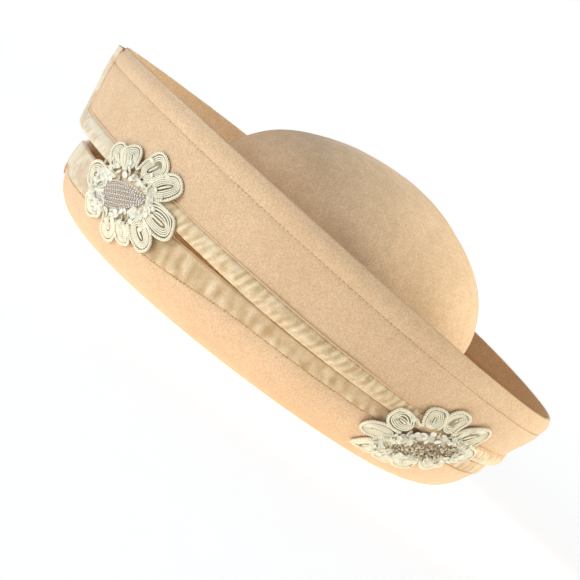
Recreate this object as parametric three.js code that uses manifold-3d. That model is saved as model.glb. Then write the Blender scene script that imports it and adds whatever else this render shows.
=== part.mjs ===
import * as THREE from "three";
import { mergeVertices } from "three/addons/utils/BufferGeometryUtils.js";
import Module from "manifold-3d";

// A blocked felt hat with a turned-up brim. The brim is slashed all the way round and down its
// front, the slash is bound with velvet, and lace motifs bridge it at the sides.
// Millimetres, +Z up, the front of the hat towards -Y, the wearer's left towards +X.
// The hat rests on the flat underside of its brim, and the origin is below its middle.

const degrees = Math.PI / 180;
const clamp = (value, low, high) => Math.min(Math.max(value, low), high);

// Driving dimensions
const FELT = 2.5; // wall of the felt
const HEM = { thickness: 4.4, depth: 14, roll: 1.3 }; // the rim is folded in and sewn down
const GAP = 0.3; // between neighbouring pieces
const VELVET = { wall: 1.3, innerLeaf: 5, besideSlash: 13 };
const PROW = 1.32; // how pointed the front of the rim is: 1 is an ellipse
const TWIST = 0.0001; // the soft rim is a little higher at the left front and right back
const UPRIGHT = { from: 20, over: 80 }; // heights between which prow and twist come in

// The crown: an upright wall under half an ellipsoid
const CROWN = {
  side: 84.5,
  front: 105,
  back: 104.5,
  middle: 9.5,
  foot: 14,
  shoulder: 85,
  top: 154,
};

// The visible face of the brim, a row for each ring from the head opening outwards and up:
// half width at the sides, reach to the front and back, and height at front, side and back.
const LOWER_PANEL = [
  { side: 82, front: 93, back: 111.5, zFront: 14, zSide: 14, zBack: 14 },
  { side: 84.5, front: 96.2, back: 114.7, zFront: 5, zSide: 5, zBack: 5 },
  { side: 93, front: 107, back: 122.5, zFront: 0, zSide: 0, zBack: 0 },
  { side: 108, front: 130, back: 134, zFront: 0, zSide: 0, zBack: 0 },
  { side: 118, front: 150, back: 148, zFront: 5, zSide: 3.5, zBack: 5 },
  { side: 126, front: 161, back: 157, zFront: 13, zSide: 10, zBack: 12 },
  { side: 135, front: 166, back: 163, zFront: 22, zSide: 18.5, zBack: 21 },
  { side: 141, front: 168.5, back: 167, zFront: 30, zSide: 27, zBack: 31 },
  { side: 144.5, front: 169, back: 168.5, zFront: 46, zSide: 42, zBack: 40 },
];
const CUFF = halved([
  { side: 148.5, front: 177.5, back: 172.5, zFront: 56, zSide: 46, zBack: 43.5 },
  { side: 151.5, front: 180.5, back: 176, zFront: 74, zSide: 59, zBack: 53 },
  { side: 158, front: 184.5, back: 184, zFront: 94, zSide: 82, zBack: 70 },
  { side: 163.5, front: 186, back: 186.5, zFront: 110.5, zSide: 101.5, zBack: 86 },
]);

// The slash down the front: half its width where it starts and ends
const FRONT_SLASH = {
  cuff: { top: 3.2, bottom: 7.5, zTop: 125, zBottom: 40 },
  lower: { top: 7.5, bottom: 4, zTop: 60, zBottom: 21 },
  reach: [120, 210],
};

// Lace motifs: where each lies round the hat and on the bridged surface, its size and its turn,
// and how far along and up its beads are from its middle
const MOTIFS = [
  { name: "front", angle: 48.5, row: 2.75, length: 88, height: 60, turn: 22, beads: [-7, -1] },
  { name: "back", angle: 131.3, row: 2.46, length: 90, height: 60, turn: 30, beads: [1.7, -6] },
];
const LACE = { lobes: 10, lobeDepth: 0.17, wall: 1.6, offset: 2.3, window: [0.62, 0.84] };
const BEAD_PANEL = { length: 44, height: 16, wall: 1.8, crown: 0.8 };

const AROUND = 50; // columns round the brim
const CROWN_AROUND = 36;

const COLOURS = {
  felt: { color: 0xe2bd94, roughness: 0.95, metalness: 0 },
  velvet: { color: 0xd3b68a, roughness: 0.7, metalness: 0 },
  lace: { color: 0xf1e8d2, roughness: 0.6, metalness: 0 },
  beads: { color: 0xc9bda6, roughness: 0.35, metalness: 0.2 },
};

// Geometry helpers

// A table with a row added half way between each two, on a smooth curve through them
function halved(rows) {
  const at = (k) => rows[clamp(k, 0, rows.length - 1)];
  return rows.flatMap((row, i) => {
    if (i === rows.length - 1) return [row];
    const middle = {};
    for (const column of Object.keys(row)) {
      const ends = at(i - 1)[column] + at(i + 2)[column];
      middle[column] = (9 * (row[column] + at(i + 1)[column]) - ends) / 16;
    }
    return [row, middle];
  });
}

// The row at a place t between two rows, or a little past the first or last
function rowAt(rows, t) {
  const i = clamp(Math.floor(t), 0, rows.length - 2);
  const row = {};
  for (const column of Object.keys(rows[0])) {
    row[column] = THREE.MathUtils.lerp(rows[i][column], rows[i + 1][column], t - i);
  }
  return row;
}

const upright = (row) => clamp((row.zSide - UPRIGHT.from) / UPRIGHT.over, 0, 1);
const prowOf = (row) => 1 + (PROW - 1) * upright(row);

// A point of a ring: angle 0 is the front, 90 degrees the wearer's left
function ringPoint(row, angle) {
  const c = Math.cos(angle);
  const s = Math.sin(angle);
  const pointed = c > 0 ? prowOf(row) : 1;
  const x = row.side * Math.sign(s) * Math.abs(s) ** pointed;
  const y = -c * (c > 0 ? row.front : row.back);
  const tilt = (row.zFront - row.zBack) / 2;
  const sag = (row.zFront + row.zBack) / 2 - row.zSide;
  const z = row.zSide + tilt * c + sag * c * c - TWIST * upright(row) * x * y;
  return new THREE.Vector3(x, y, Math.max(z, 0));
}

const facePoint = (rows, t, angle) => ringPoint(rowAt(rows, t), angle);

// The outward normal of a brim face, and how many millimetres one unit of t is there
function faceFrame(rows, t, angle) {
  const step = 0.03;
  const last = rows.length - 1;
  const low = clamp(t - step, 0, last - step);
  const high = clamp(t + step, step, last);
  const up = facePoint(rows, high, angle).sub(facePoint(rows, low, angle));
  const round = facePoint(rows, t, angle + step).sub(facePoint(rows, t, angle - step));
  const perRow = up.length() / (high - low);
  const perRadian = round.length() / (2 * step);
  return { normal: round.cross(up).normalize(), perRow, perRadian };
}

// A point that stands off a brim face, outwards when the distance is positive
function offFace(rows, t, angle, distance) {
  const { normal } = faceFrame(rows, t, angle);
  return facePoint(rows, t, angle).addScaledVector(normal, distance);
}

// A closed mesh from triangles, turned so that its faces point outwards
function closedGeometry(triangles) {
  let volume = 0;
  for (const [a, b, c] of triangles) volume += a.dot(b.clone().cross(c));
  const corners = triangles.flatMap(([a, b, c]) => (volume < 0 ? [a, c, b] : [a, b, c]));
  const geometry = new THREE.BufferGeometry().setFromPoints(corners);
  return mergeVertices(geometry, 1e-4);
}

function strip(a, b, closed) {
  const triangles = [];
  const count = Math.max(a.length, b.length);
  for (let i = 0; i < (closed ? count : count - 1); i++) {
    const j = (i + 1) % count;
    if (b.length === 1) triangles.push([a[i], a[j], b[0]]);
    else if (a.length === 1) triangles.push([a[0], b[j], b[i]]);
    else triangles.push([a[i], a[j], b[j]], [a[i], b[j], b[i]]);
  }
  return triangles;
}

const skin = (rings, closed = true) =>
  rings.slice(1).flatMap((ring, i) => strip(rings[i], ring, closed));

const ringOf = (count, pointAt) =>
  Array.from({ length: count }, (_, i) => pointAt((i / count) * 2 * Math.PI));

const steps = (from, to, count) =>
  Array.from({ length: count + 1 }, (_, i) => from + ((to - from) * i) / count);

// Pieces of felt
function crownPoint(angle, lift, wall) {
  const reach = (Math.cos(angle) > 0 ? CROWN.front : CROWN.back) - wall;
  const shrink = Math.cos(lift);
  const rise = Math.sin(lift) * (CROWN.top - CROWN.shoulder - wall);
  return new THREE.Vector3(
    (CROWN.side - wall) * shrink * Math.sin(angle),
    CROWN.middle - reach * shrink * Math.cos(angle),
    CROWN.shoulder + rise,
  );
}

function crownGeometry() {
  const face = (wall) => {
    const foot = ringOf(CROWN_AROUND, (a) => {
      return crownPoint(a, 0, wall).setZ(CROWN.foot + GAP);
    });
    const middle = ringOf(CROWN_AROUND, (a) => {
      return crownPoint(a, 0, wall).setZ((CROWN.foot + CROWN.shoulder) / 2);
    });
    const dome = steps(0, Math.PI / 2, 7).slice(0, -1);
    const rings = dome.map((lift) => ringOf(CROWN_AROUND, (a) => crownPoint(a, lift, wall)));
    return [foot, middle, ...rings, [crownPoint(0, Math.PI / 2, wall)]];
  };
  const outer = face(0);
  const inner = face(FELT).reverse();
  return closedGeometry([...skin(outer), ...skin([...inner, outer[0]])]);
}

function lowerPanelGeometry() {
  const rows = LOWER_PANEL;
  const places = steps(0, rows.length - 1, rows.length - 1);
  const ring = (t, off) => ringOf(AROUND, (a) => {
    const point = offFace(rows, t, a, off);
    return t === 0 ? point.setZ(CROWN.foot) : point; // cut level where it meets the crown
  });
  const outer = places.map((t) => ring(t, 0));
  const inner = places.map((t) => ring(t, -FELT)).reverse();
  return closedGeometry(skin([...outer, ...inner, outer[0]]));
}

const rimRow = CUFF.length - 1;
const hemLine = rimRow - HEM.depth / faceFrame(CUFF, rimRow, Math.PI / 2).perRow;

function cuffGeometry() {
  const rows = CUFF;
  const top = rimRow;
  const ring = (t, off) => ringOf(AROUND, (a) => offFace(rows, t, a, off));
  const outer = rows.map((_, t) => ring(t, 0));
  const fold = ringOf(AROUND, (a) => {
    const point = offFace(rows, top, a, -HEM.thickness / 2);
    return point.setZ(point.z + HEM.roll);
  });
  const inner = [
    [top, HEM.thickness],
    [hemLine, HEM.thickness],
    [hemLine, FELT],
    ...steps(4, 0, 4).map((t) => [t, FELT]),
  ].map(([t, wall]) => ring(t, -wall));
  return closedGeometry(skin([...outer, fold, ...inner, outer[0]]));
}

// Cutting the slash down the front
const wasm = await Module();
wasm.setup();

function solidOf(geometry) {
  const bare = geometry.index ? geometry.toNonIndexed() : geometry.clone();
  bare.deleteAttribute("normal");
  bare.deleteAttribute("uv");
  const merged = mergeVertices(bare, 1e-4);
  return new wasm.Manifold(
    new wasm.Mesh({
      numProp: 3,
      vertProperties: new Float32Array(merged.attributes.position.array),
      triVerts: new Uint32Array(merged.index.array),
    }),
  );
}

function geometryOf(solid) {
  const mesh = solid.getMesh();
  const geometry = new THREE.BufferGeometry();
  geometry.setAttribute("position", new THREE.BufferAttribute(mesh.vertProperties, 3));
  geometry.setIndex(new THREE.BufferAttribute(mesh.triVerts, 1));
  return geometry;
}

function slashTool({ top, bottom, zTop, zBottom }) {
  const [near, far] = FRONT_SLASH.reach;
  const outline = new THREE.Shape();
  outline.moveTo(-bottom, zBottom);
  outline.lineTo(bottom, zBottom);
  outline.lineTo(top, zTop);
  outline.lineTo(-top, zTop);
  outline.closePath();
  const tool = new THREE.ExtrudeGeometry(outline, { depth: far - near, bevelEnabled: false });
  return tool.rotateX(Math.PI / 2).translate(0, -near, 0);
}

const slashed = (geometry, slash) =>
  geometryOf(solidOf(geometry).subtract(solidOf(slashTool(slash))));

// Half the width of a slash at a height
function slashHalf({ top, bottom, zTop, zBottom }, z) {
  return bottom + ((top - bottom) * (z - zBottom)) / (zTop - zBottom);
}

// Velvet bindings: a U-shaped strip folded over the edge of a panel, which runs along one side
// of the front slash, round the hat between two rows and back along the other side.
function bindingGeometry({ rows, edge, seam, frontRows, slash, wallAt }) {
  const inward = Math.sign(seam - edge);
  const column = (2 * Math.PI) / AROUND;
  // A point of the strip: w is its distance in from the edge, off its distance off the felt
  const place = ({ side, kind, row, angle }, w, off) => {
    const perRow = faceFrame(rows, edge + inward / 2, angle).perRow;
    const t = kind === "front" ? row : edge + (inward * w) / perRow;
    if (kind === "round") return offFace(rows, t, angle, off);
    const ring = rowAt(rows, t);
    const beside = slashHalf(slash, ringPoint(ring, 0).z) + w;
    const x = kind === "fan" ? Math.max(ringPoint(ring, column).x, beside + 1) : beside;
    return offFace(rows, t, side * Math.asin((x / ring.side) ** (1 / prowOf(ring))), off);
  };
  const widthAt = ({ kind, angle }) => {
    if (kind !== "round") return VELVET.besideSlash;
    return faceFrame(rows, edge + inward / 2, angle).perRow * Math.abs(seam - edge);
  };
  const beside = (side) => [
    ...frontRows.map((row) => ({ kind: "front", side, row, angle: 0 })),
    { kind: "corner", side, row: edge, angle: 0 },
    { kind: "fan", side, row: edge, angle: 0 },
  ];
  const round = steps(2 * column, 2 * Math.PI - 2 * column, AROUND - 4);
  const stations = [
    ...beside(1),
    ...round.map((angle) => ({ kind: "round", side: 1, row: edge, angle })),
    ...beside(-1).reverse(),
  ];
  const out = GAP + VELVET.wall;
  const section = (width, wall) => [
    [width, GAP],
    [width, out],
    [width / 2, out],
    [-out / 2, out],
    [-out, out / 2],
    [-out, -wall - out],
    [VELVET.innerLeaf, -wall - out],
    [VELVET.innerLeaf, -wall - GAP],
    [-GAP, -wall - GAP],
    [-GAP, GAP],
    [width / 2, GAP],
  ];
  const rings = stations.map((station) =>
    section(widthAt(station), wallAt(station.row)).map(([w, off]) => place(station, w, off)),
  );
  const outline = section(VELVET.besideSlash, FELT).map(([w, off]) => new THREE.Vector2(w, off));
  const faces = THREE.ShapeUtils.triangulateShape(outline, []);
  const cap = (ring) => faces.map(([a, b, c]) => [ring[a], ring[b], ring[c]]);
  const turned = (triangles) => triangles.map(([a, b, c]) => [a, c, b]);
  return closedGeometry([...skin(rings), ...turned(cap(rings[0])), ...cap(rings.at(-1))]);
}

// Lace motifs lie on a surface that bridges the slash from the lower panel to the cuff
const BRIDGE = [...LOWER_PANEL.slice(5, 8), ...CUFF.slice(0, 5)];

// The place reached from t by climbing a distance over the rows, or descending if negative
function climb(rows, t, angle, distance) {
  const end = distance > 0 ? rows.length - 1 : 0;
  let left = Math.abs(distance);
  while (t !== end) {
    const next = distance > 0 ? Math.floor(t) + 1 : Math.ceil(t) - 1;
    const length = facePoint(rows, t, angle).distanceTo(facePoint(rows, next, angle));
    if (length >= left) return t + ((next - t) * left) / length;
    left -= length;
    t = next;
  }
  return t;
}

function bridgePoint(motif, side, along, up, off) {
  const turn = motif.turn * degrees;
  const back = along * Math.cos(turn) - up * Math.sin(turn);
  const rise = along * Math.sin(turn) + up * Math.cos(turn);
  const centre = side * motif.angle * degrees;
  const { perRadian } = faceFrame(BRIDGE, motif.row, centre);
  const angle = centre + (side * back) / perRadian;
  return offFace(BRIDGE, climb(BRIDGE, motif.row, angle, rise), angle, off);
}

// A pierced plate with a lobed edge: a grid round its middle, with a window left in each lobe
function laceGeometry(motif, side) {
  const perLobe = 6;
  const count = LACE.lobes * perLobe;
  const shares = [0.36, ...LACE.window, 1];
  const windowRow = 1;
  const isOpen = (row, column) => row === windowRow && [2, 3].includes(column % perLobe);
  const point = (share, column, off) => {
    const around = (column / count) * 2 * Math.PI;
    const lobe = Math.abs(Math.sin((LACE.lobes * around) / 2)) ** 0.7;
    const edge = 1 - LACE.lobeDepth * (1 - lobe) * share;
    const along = (motif.length / 2) * share * edge * Math.cos(around);
    const up = (motif.height / 2) * share * edge * Math.sin(around);
    return bridgePoint(motif, side, along, up, off);
  };
  const levels = [LACE.offset, LACE.offset + LACE.wall];
  const grid = levels.map((off) => shares.map((share) => {
    return Array.from({ length: count }, (_, column) => point(share, column, off));
  }));
  const middles = levels.map((off) => bridgePoint(motif, side, 0, 0, off));
  const [low, high] = grid;
  const triangles = [];
  const quad = (a, b, c, d) => triangles.push([a, b, c], [a, c, d]);
  for (let i = 0; i < count; i++) {
    const j = (i + 1) % count;
    triangles.push([middles[1], high[0][i], high[0][j]], [middles[0], low[0][j], low[0][i]]);
    quad(high.at(-1)[i], low.at(-1)[i], low.at(-1)[j], high.at(-1)[j]);
    for (let row = 0; row < shares.length - 1; row++) {
      if (isOpen(row, i)) {
        quad(high[row][i], low[row][i], low[row][j], high[row][j]);
        quad(high[row + 1][j], low[row + 1][j], low[row + 1][i], high[row + 1][i]);
        if (!isOpen(row, i - 1)) quad(high[row + 1][i], low[row + 1][i], low[row][i], high[row][i]);
        if (!isOpen(row, i + 1)) quad(high[row][j], low[row][j], low[row + 1][j], high[row + 1][j]);
        continue;
      }
      quad(high[row][i], high[row + 1][i], high[row + 1][j], high[row][j]);
      quad(low[row][j], low[row + 1][j], low[row + 1][i], low[row][i]);
    }
  }
  return closedGeometry(triangles);
}

// An oval pad of beads on the middle of a motif, a little higher at its centre
function beadPanelGeometry(motif, side) {
  const count = 16;
  const base = LACE.offset + LACE.wall + GAP;
  const [middleAlong, middleUp] = motif.beads;
  const ring = (share, off) => ringOf(count, (around) => {
    const along = middleAlong + (BEAD_PANEL.length / 2) * share * Math.cos(around);
    const up = middleUp + (BEAD_PANEL.height / 2) * share * Math.sin(around);
    return bridgePoint(motif, side, along, up, off);
  });
  const middle = (off) => [bridgePoint(motif, side, middleAlong, middleUp, off)];
  const rings = [
    middle(base),
    ring(0.6, base),
    ring(1, base),
    ring(1, base + BEAD_PANEL.wall),
    ring(0.6, base + BEAD_PANEL.wall + 0.7 * BEAD_PANEL.crown),
    middle(base + BEAD_PANEL.wall + BEAD_PANEL.crown),
  ];
  return closedGeometry(skin(rings));
}

// The hat
const materials = Object.fromEntries(
  Object.entries(COLOURS).map(([name, look]) => [name, new THREE.MeshStandardMaterial(look)]),
);

const hat = new THREE.Group();
function add(name, geometry, material) {
  const mesh = new THREE.Mesh(geometry, materials[material]);
  mesh.name = name;
  hat.add(mesh);
}

add("crown", crownGeometry(), "felt");
add("brim_lower_panel", slashed(lowerPanelGeometry(), FRONT_SLASH.lower), "felt");
add("brim_cuff", slashed(cuffGeometry(), FRONT_SLASH.cuff), "felt");
const lowerBinding = {
  rows: LOWER_PANEL,
  edge: 8,
  seam: 7,
  frontRows: [6.1, 7],
  slash: FRONT_SLASH.lower,
  wallAt: () => FELT,
};
const upperBinding = {
  rows: CUFF,
  edge: 0,
  seam: 2,
  frontRows: [5.96, 5, hemLine, 4, 3, 2, 1],
  slash: FRONT_SLASH.cuff,
  wallAt: (row) => (row >= hemLine ? HEM.thickness : FELT),
};
add("lower_binding", bindingGeometry(lowerBinding), "velvet");
add("upper_binding", bindingGeometry(upperBinding), "velvet");
for (const motif of MOTIFS) {
  for (const [hand, side] of [["left", 1], ["right", -1]]) {
    add(`${motif.name}_${hand}_lace`, laceGeometry(motif, side), "lace");
    add(`${motif.name}_${hand}_beads`, beadPanelGeometry(motif, side), "beads");
  }
}

// The origin is below the middle of the box round the hat
const box = new THREE.Box3().setFromObject(hat);
hat.position.y = -(box.min.y + box.max.y) / 2;

export default hat;
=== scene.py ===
"""A felt hat with a turned-up brim, seen from its left side with its front up and to the left.

The brim is slashed all the way round and down its front. Puckered velvet binds the slash, and
four motifs of soutache cord, sequins and beads bridge it at the sides.
"""

import math
import random
from functools import lru_cache

import bmesh
import bpy
from mathutils import Matrix, Vector, noise


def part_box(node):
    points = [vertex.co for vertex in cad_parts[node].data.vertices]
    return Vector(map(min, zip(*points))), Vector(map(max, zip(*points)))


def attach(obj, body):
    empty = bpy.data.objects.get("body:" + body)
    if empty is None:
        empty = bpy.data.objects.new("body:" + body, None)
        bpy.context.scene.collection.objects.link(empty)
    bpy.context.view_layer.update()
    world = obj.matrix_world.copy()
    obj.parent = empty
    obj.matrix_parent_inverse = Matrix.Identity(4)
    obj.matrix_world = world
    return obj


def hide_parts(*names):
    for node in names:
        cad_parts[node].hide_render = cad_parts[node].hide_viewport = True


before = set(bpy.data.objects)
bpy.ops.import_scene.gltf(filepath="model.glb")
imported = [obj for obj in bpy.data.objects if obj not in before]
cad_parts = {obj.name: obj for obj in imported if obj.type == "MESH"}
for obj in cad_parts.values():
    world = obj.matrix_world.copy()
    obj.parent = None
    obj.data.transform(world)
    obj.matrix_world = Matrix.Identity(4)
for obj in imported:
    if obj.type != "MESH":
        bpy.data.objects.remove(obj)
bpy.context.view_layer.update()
draws = random.Random(11)

# Sizes are in millimetres in the formulas, and MM turns them into metres at the end.
MM = 0.001
FELT = 2.5
HEM_THICKNESS = 4.4
HEM_DEPTH = 14
# How pointed the front of the rim is, where 1 is an ellipse, and how much the rim is askew.
PROW = 1.32
TWIST = 0.0001
# Both begin where the side has this height, and come in over so many millimetres more.
UPRIGHT_FROM, UPRIGHT_OVER = 20, 80

CROWN = {
    "side": 84.5,
    "front": 105,
    "back": 104.5,
    "middle": 9.5,
    "foot": 14,
    "shoulder": 85,
    "top": 154,
}
# The origin lies below the middle of the whole hat, a little off the place the tables start from.
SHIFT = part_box("crown")[0].y / MM - (CROWN["middle"] - CROWN["front"])

# A row for each ring of the brim's visible face, from the head opening outwards and up:
# half width at the sides, reach to the front and back, height at the front, side and back.
LOWER_PANEL = (
    (82, 93, 111.5, 14, 14, 14),
    (84.5, 96.2, 114.7, 5, 5, 5),
    (93, 107, 122.5, 0, 0, 0),
    (108, 130, 134, 0, 0, 0),
    (118, 150, 148, 5, 3.5, 5),
    (126, 161, 157, 13, 10, 12),
    (135, 166, 163, 22, 18.5, 21),
    (141, 168.5, 167, 30, 27, 31),
    (144.5, 169, 168.5, 46, 42, 40),
)
CUFF_MARKS = (
    (148.5, 177.5, 172.5, 56, 46, 43.5),
    (151.5, 180.5, 176, 74, 59, 53),
    (158, 184.5, 184, 94, 82, 70),
    (163.5, 186, 186.5, 110.5, 101.5, 86),
)
# Half the width of the front slash at its top and bottom, and the heights of those.
CUFF_SLASH = {"top": 3.2, "bottom": 7.5, "z_top": 125, "z_bottom": 40}
LOWER_SLASH = {"top": 7.5, "bottom": 4, "z_top": 60, "z_bottom": 21}

# Lace motifs: the angle round the hat, the place on the bridged surface, the size and the turn,
# how far along and up its beads are from its middle, and how many sequins lie round them.
MOTIFS = {
    "front": {
        "angle": 48.5,
        "row": 2.75,
        "length": 88,
        "height": 60,
        "turn": 22,
        "beads": (-7, -1),
        "sequins": 104,
    },
    "back": {
        "angle": 131.3,
        "row": 2.46,
        "length": 90,
        "height": 60,
        "turn": 30,
        "beads": (1.7, -6),
        "sequins": 132,
    },
}


def clamp(value, low=0.0, high=1.0):
    return min(max(value, low), high)


def lerp(a, b, share):
    return a + (b - a) * share


def steps(low, high, count):
    return [lerp(low, high, k / count) for k in range(count + 1)]


def smooth(low, high, value):
    share = clamp((value - low) / (high - low))
    return share * share * (3 - 2 * share)


def halved(rows):
    """The rows with one more half way between each two, on a smooth curve through them."""
    found = []
    last = len(rows) - 1
    for i, row in enumerate(rows):
        found.append(row)
        if i < last:
            before, after = rows[max(i - 1, 0)], rows[i + 1]
            beyond = rows[min(i + 2, last)]
            columns = zip(before, row, after, beyond)
            found.append(tuple((9 * (b + c) - a - d) / 16 for a, b, c, d in columns))
    return tuple(found)


CUFF = halved(CUFF_MARKS)
BRIDGE = LOWER_PANEL[5:8] + CUFF[:5]
RIM = len(CUFF) - 1
LIP = len(LOWER_PANEL) - 1


@lru_cache(maxsize=None)
def row_at(rows, t):
    """The row at a place t between two rows, on a smooth curve through all of them."""
    last = len(rows) - 1
    i = int(clamp(math.floor(t), 0, last - 1))
    f = t - i
    b, c = rows[i], rows[i + 1]
    if not 0 <= f <= 1:
        return tuple(lerp(p, q, f) for p, q in zip(b, c))
    a = rows[i - 1] if i > 0 else tuple(2 * p - q for p, q in zip(b, c))
    d = rows[i + 2] if i + 1 < last else tuple(2 * q - p for p, q in zip(b, c))
    return tuple(
        q + 0.5 * f * (r - p + f * (2 * p - 5 * q + 4 * r - s + f * (3 * (q - r) + s - p)))
        for p, q, r, s in zip(a, b, c, d)
    )


def upright(row):
    return clamp((row[4] - UPRIGHT_FROM) / UPRIGHT_OVER)


def ring_point(row, angle):
    """A point of a ring: angle 0 is the front, a quarter turn the wearer's left."""
    side, front, back, z_front, z_side, z_back = row
    c, s = math.cos(angle), math.sin(angle)
    power = 1 + (PROW - 1) * upright(row) if c > 0 else 1
    x = side * math.copysign(abs(s) ** power, s)
    y = -c * (front if c > 0 else back)
    tilt = (z_front - z_back) / 2
    sag = (z_front + z_back) / 2 - z_side
    z = z_side + tilt * c + sag * c * c - TWIST * upright(row) * x * y
    return Vector((x, y + SHIFT, max(z, 0)))


def face_frame(rows, t, angle):
    """The outward normal of a brim face, its upward direction and its size for one row."""
    step = 0.02
    last = len(rows) - 1
    low, high = clamp(t - step, 0, last - step), clamp(t + step, step, last)
    up = ring_point(row_at(rows, high), angle) - ring_point(row_at(rows, low), angle)
    row = row_at(rows, t)
    around = ring_point(row, angle + step) - ring_point(row, angle - step)
    normal = around.cross(up).normalized()
    return normal, up.normalized(), up.length / (high - low)


def stand(rows, t, angle, off, rise=0.0):
    """A point that stands off a brim face, and up along it."""
    normal, up, _ = face_frame(rows, t, angle)
    return ring_point(row_at(rows, t), angle) + normal * off + up * rise


def slash_half(slash, z):
    share = (z - slash["z_bottom"]) / (slash["z_top"] - slash["z_bottom"])
    return lerp(slash["bottom"], slash["top"], share)


# A place round the brim is told by how far it is from the middle of the front: in true
# millimetres to the side as far as NEAR, and from there in equal parts of an angle.
NEAR = 36
HALF_WAY = 548


def angle_from(row, distance):
    """The angle of a place at that distance from the middle of the front, on the left side."""
    power = 1 + (PROW - 1) * upright(row)
    near = math.asin((min(distance, NEAR) / row[0]) ** (1 / power))
    if distance <= NEAR:
        return near
    return lerp(near, math.pi, (distance - NEAR) / (HALF_WAY - NEAR))


def wander(point, size, amount):
    """Soft unevenness: a number that changes slowly over the surface."""
    return amount * noise.noise(point / size)


# Meshes


def placed(name, data):
    """An object that shows the data, in the scene."""
    thing = bpy.data.objects.new(name, data)
    bpy.context.scene.collection.objects.link(thing)
    return thing


def smooth_mesh(name, bm):
    """Turns a bmesh into an object with smooth faces, and frees it."""
    mesh = bpy.data.meshes.new(name)
    bm.to_mesh(mesh)
    bm.free()
    mesh.polygons.foreach_set("use_smooth", [True] * len(mesh.polygons))
    return placed(name, mesh)


def finished(name, bm, node=None):
    """Turns a bmesh in millimetres into a piece of the hat."""
    bmesh.ops.scale(bm, vec=(MM, MM, MM), verts=bm.verts)
    piece = smooth_mesh(name, bm)
    if node:
        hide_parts(node)
    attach(piece, "root")
    return piece


def paint(piece, material):
    piece.data.materials.append(material)


def laid_grid(bm, columns, rows, place):
    """A grid whose corners go where place says, from their numbers across and along it."""
    made = bmesh.ops.create_grid(bm, x_segments=columns, y_segments=rows, size=1)["verts"]
    for v in made:
        across, along = (v.co.x + 1) / 2, (v.co.y + 1) / 2
        v.co = place(round(across * columns), round(along * rows))
    return made


def sealed(bm, slit=False):
    """Welds the seams of a mesh and closes the ends that are left. With a slit, the two halves of
    an end meet in the middle of the front, and each half is closed along that line."""
    bmesh.ops.remove_doubles(bm, verts=bm.verts, dist=0.002)
    bmesh.ops.dissolve_degenerate(bm, edges=bm.edges, dist=0.0005)
    open_edges = [e for e in bm.edges if e.is_boundary]
    for side in (1, -1):
        ends = [e for e in open_edges if side * (e.verts[0].co.x + e.verts[1].co.x) > 0]
        if slit and ends:
            loose = list(dict.fromkeys(v for e in ends for v in e.verts if abs(v.co.x) < 0.01))
            if len(loose) == 2:
                ends.append(bm.edges.get(loose) or bm.edges.new(loose))
        if ends:
            bmesh.ops.edgeloop_fill(bm, edges=ends)
    bmesh.ops.recalc_face_normals(bm, faces=bm.faces)


# The crown


def crown_felt():
    columns, rows = 144, 56
    wall_rows = 14

    def place(i, j):
        angle = 2 * math.pi * i / columns
        front = math.cos(angle) > 0
        reach = CROWN["front"] if front else CROWN["back"]
        lift = max(j - wall_rows, 0) / (rows - wall_rows) * math.pi / 2
        z = CROWN["shoulder"] + math.sin(lift) * (CROWN["top"] - CROWN["shoulder"])
        if j < wall_rows:
            z = lerp(CROWN["foot"] + 0.05, CROWN["shoulder"], j / wall_rows)
        shrink = max(math.cos(lift), 0)
        x = CROWN["side"] * shrink * math.sin(angle)
        y = CROWN["middle"] - reach * shrink * math.cos(angle) + SHIFT
        point = Vector((x, y, z))
        outwards = Vector((x / 84, (y - 9) / 105, 1.4 * math.sin(lift))).normalized()
        uneven = wander(point + Vector((31, 7, 3)), 42, 0.9) + wander(point, 15, 0.25)
        return point + outwards * uneven * smooth(0, 12, j)

    bm = bmesh.new()
    laid_grid(bm, columns, rows, place)
    bmesh.ops.remove_doubles(bm, verts=bm.verts, dist=0.01)
    bmesh.ops.recalc_face_normals(bm, faces=bm.faces)
    bmesh.ops.solidify(bm, geom=bm.faces[:], thickness=FELT)
    return finished("crown_felt", bm, "crown")


# The brim's felt


def felt_panel(name, node, rows, slash, profile, columns):
    """Felt with both faces and its edges, which starts at one side of the front slash, runs
    round the hat and ends at the other. A profile row is a place t, a distance off and a rise."""
    starts = []
    for t, _, _ in profile:
        z = ring_point(row_at(rows, t), 0).z
        starts.append(slash_half(slash, z) if z > slash["z_bottom"] else 0)

    def place(i, j):
        t, off, rise = profile[j % len(profile)]
        row = row_at(rows, t)
        side = 1 if i <= columns / 2 else -1
        share = 2 * i / columns if side > 0 else 2 * (1 - i / columns)
        start = starts[j % len(profile)]
        reach = start + (HALF_WAY - start) * share
        angle = side * angle_from(row, reach)
        point = stand(rows, t, angle, off, rise)
        if t == 0 and rows is LOWER_PANEL:
            point.z = CROWN["foot"]
        normal, _, _ = face_frame(rows, t, angle)
        soft = wander(point, 55, 1.1) + wander(point, 14, 0.22)
        return point + normal * soft * smooth(6, 40, point.z)

    bm = bmesh.new()
    laid_grid(bm, columns, len(profile), place)
    sealed(bm, slit=True)
    return finished(name, bm, node)


def lower_profile():
    outer = [(t, 0, 0) for t in steps(0, LIP, 56)]
    inner = [(t, -FELT, 0) for t in steps(LIP, 0, 28)]
    return outer + inner


SIDE_PER_ROW = face_frame(CUFF, RIM, math.pi / 2)[2]
HEM_LINE = RIM - HEM_DEPTH / SIDE_PER_ROW
STITCH_LINE = RIM - 12.4 / SIDE_PER_ROW


def hem_relief(t):
    """The hem is a little proud of the felt below it, and its stitches pull a groove."""
    beside = (t - STITCH_LINE) * SIDE_PER_ROW
    pillow = 0.45 * smooth(0, 5, beside) * (1 - smooth(9, 13, beside))
    return pillow - 0.5 * math.exp(-((beside / 1.1) ** 2))


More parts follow.
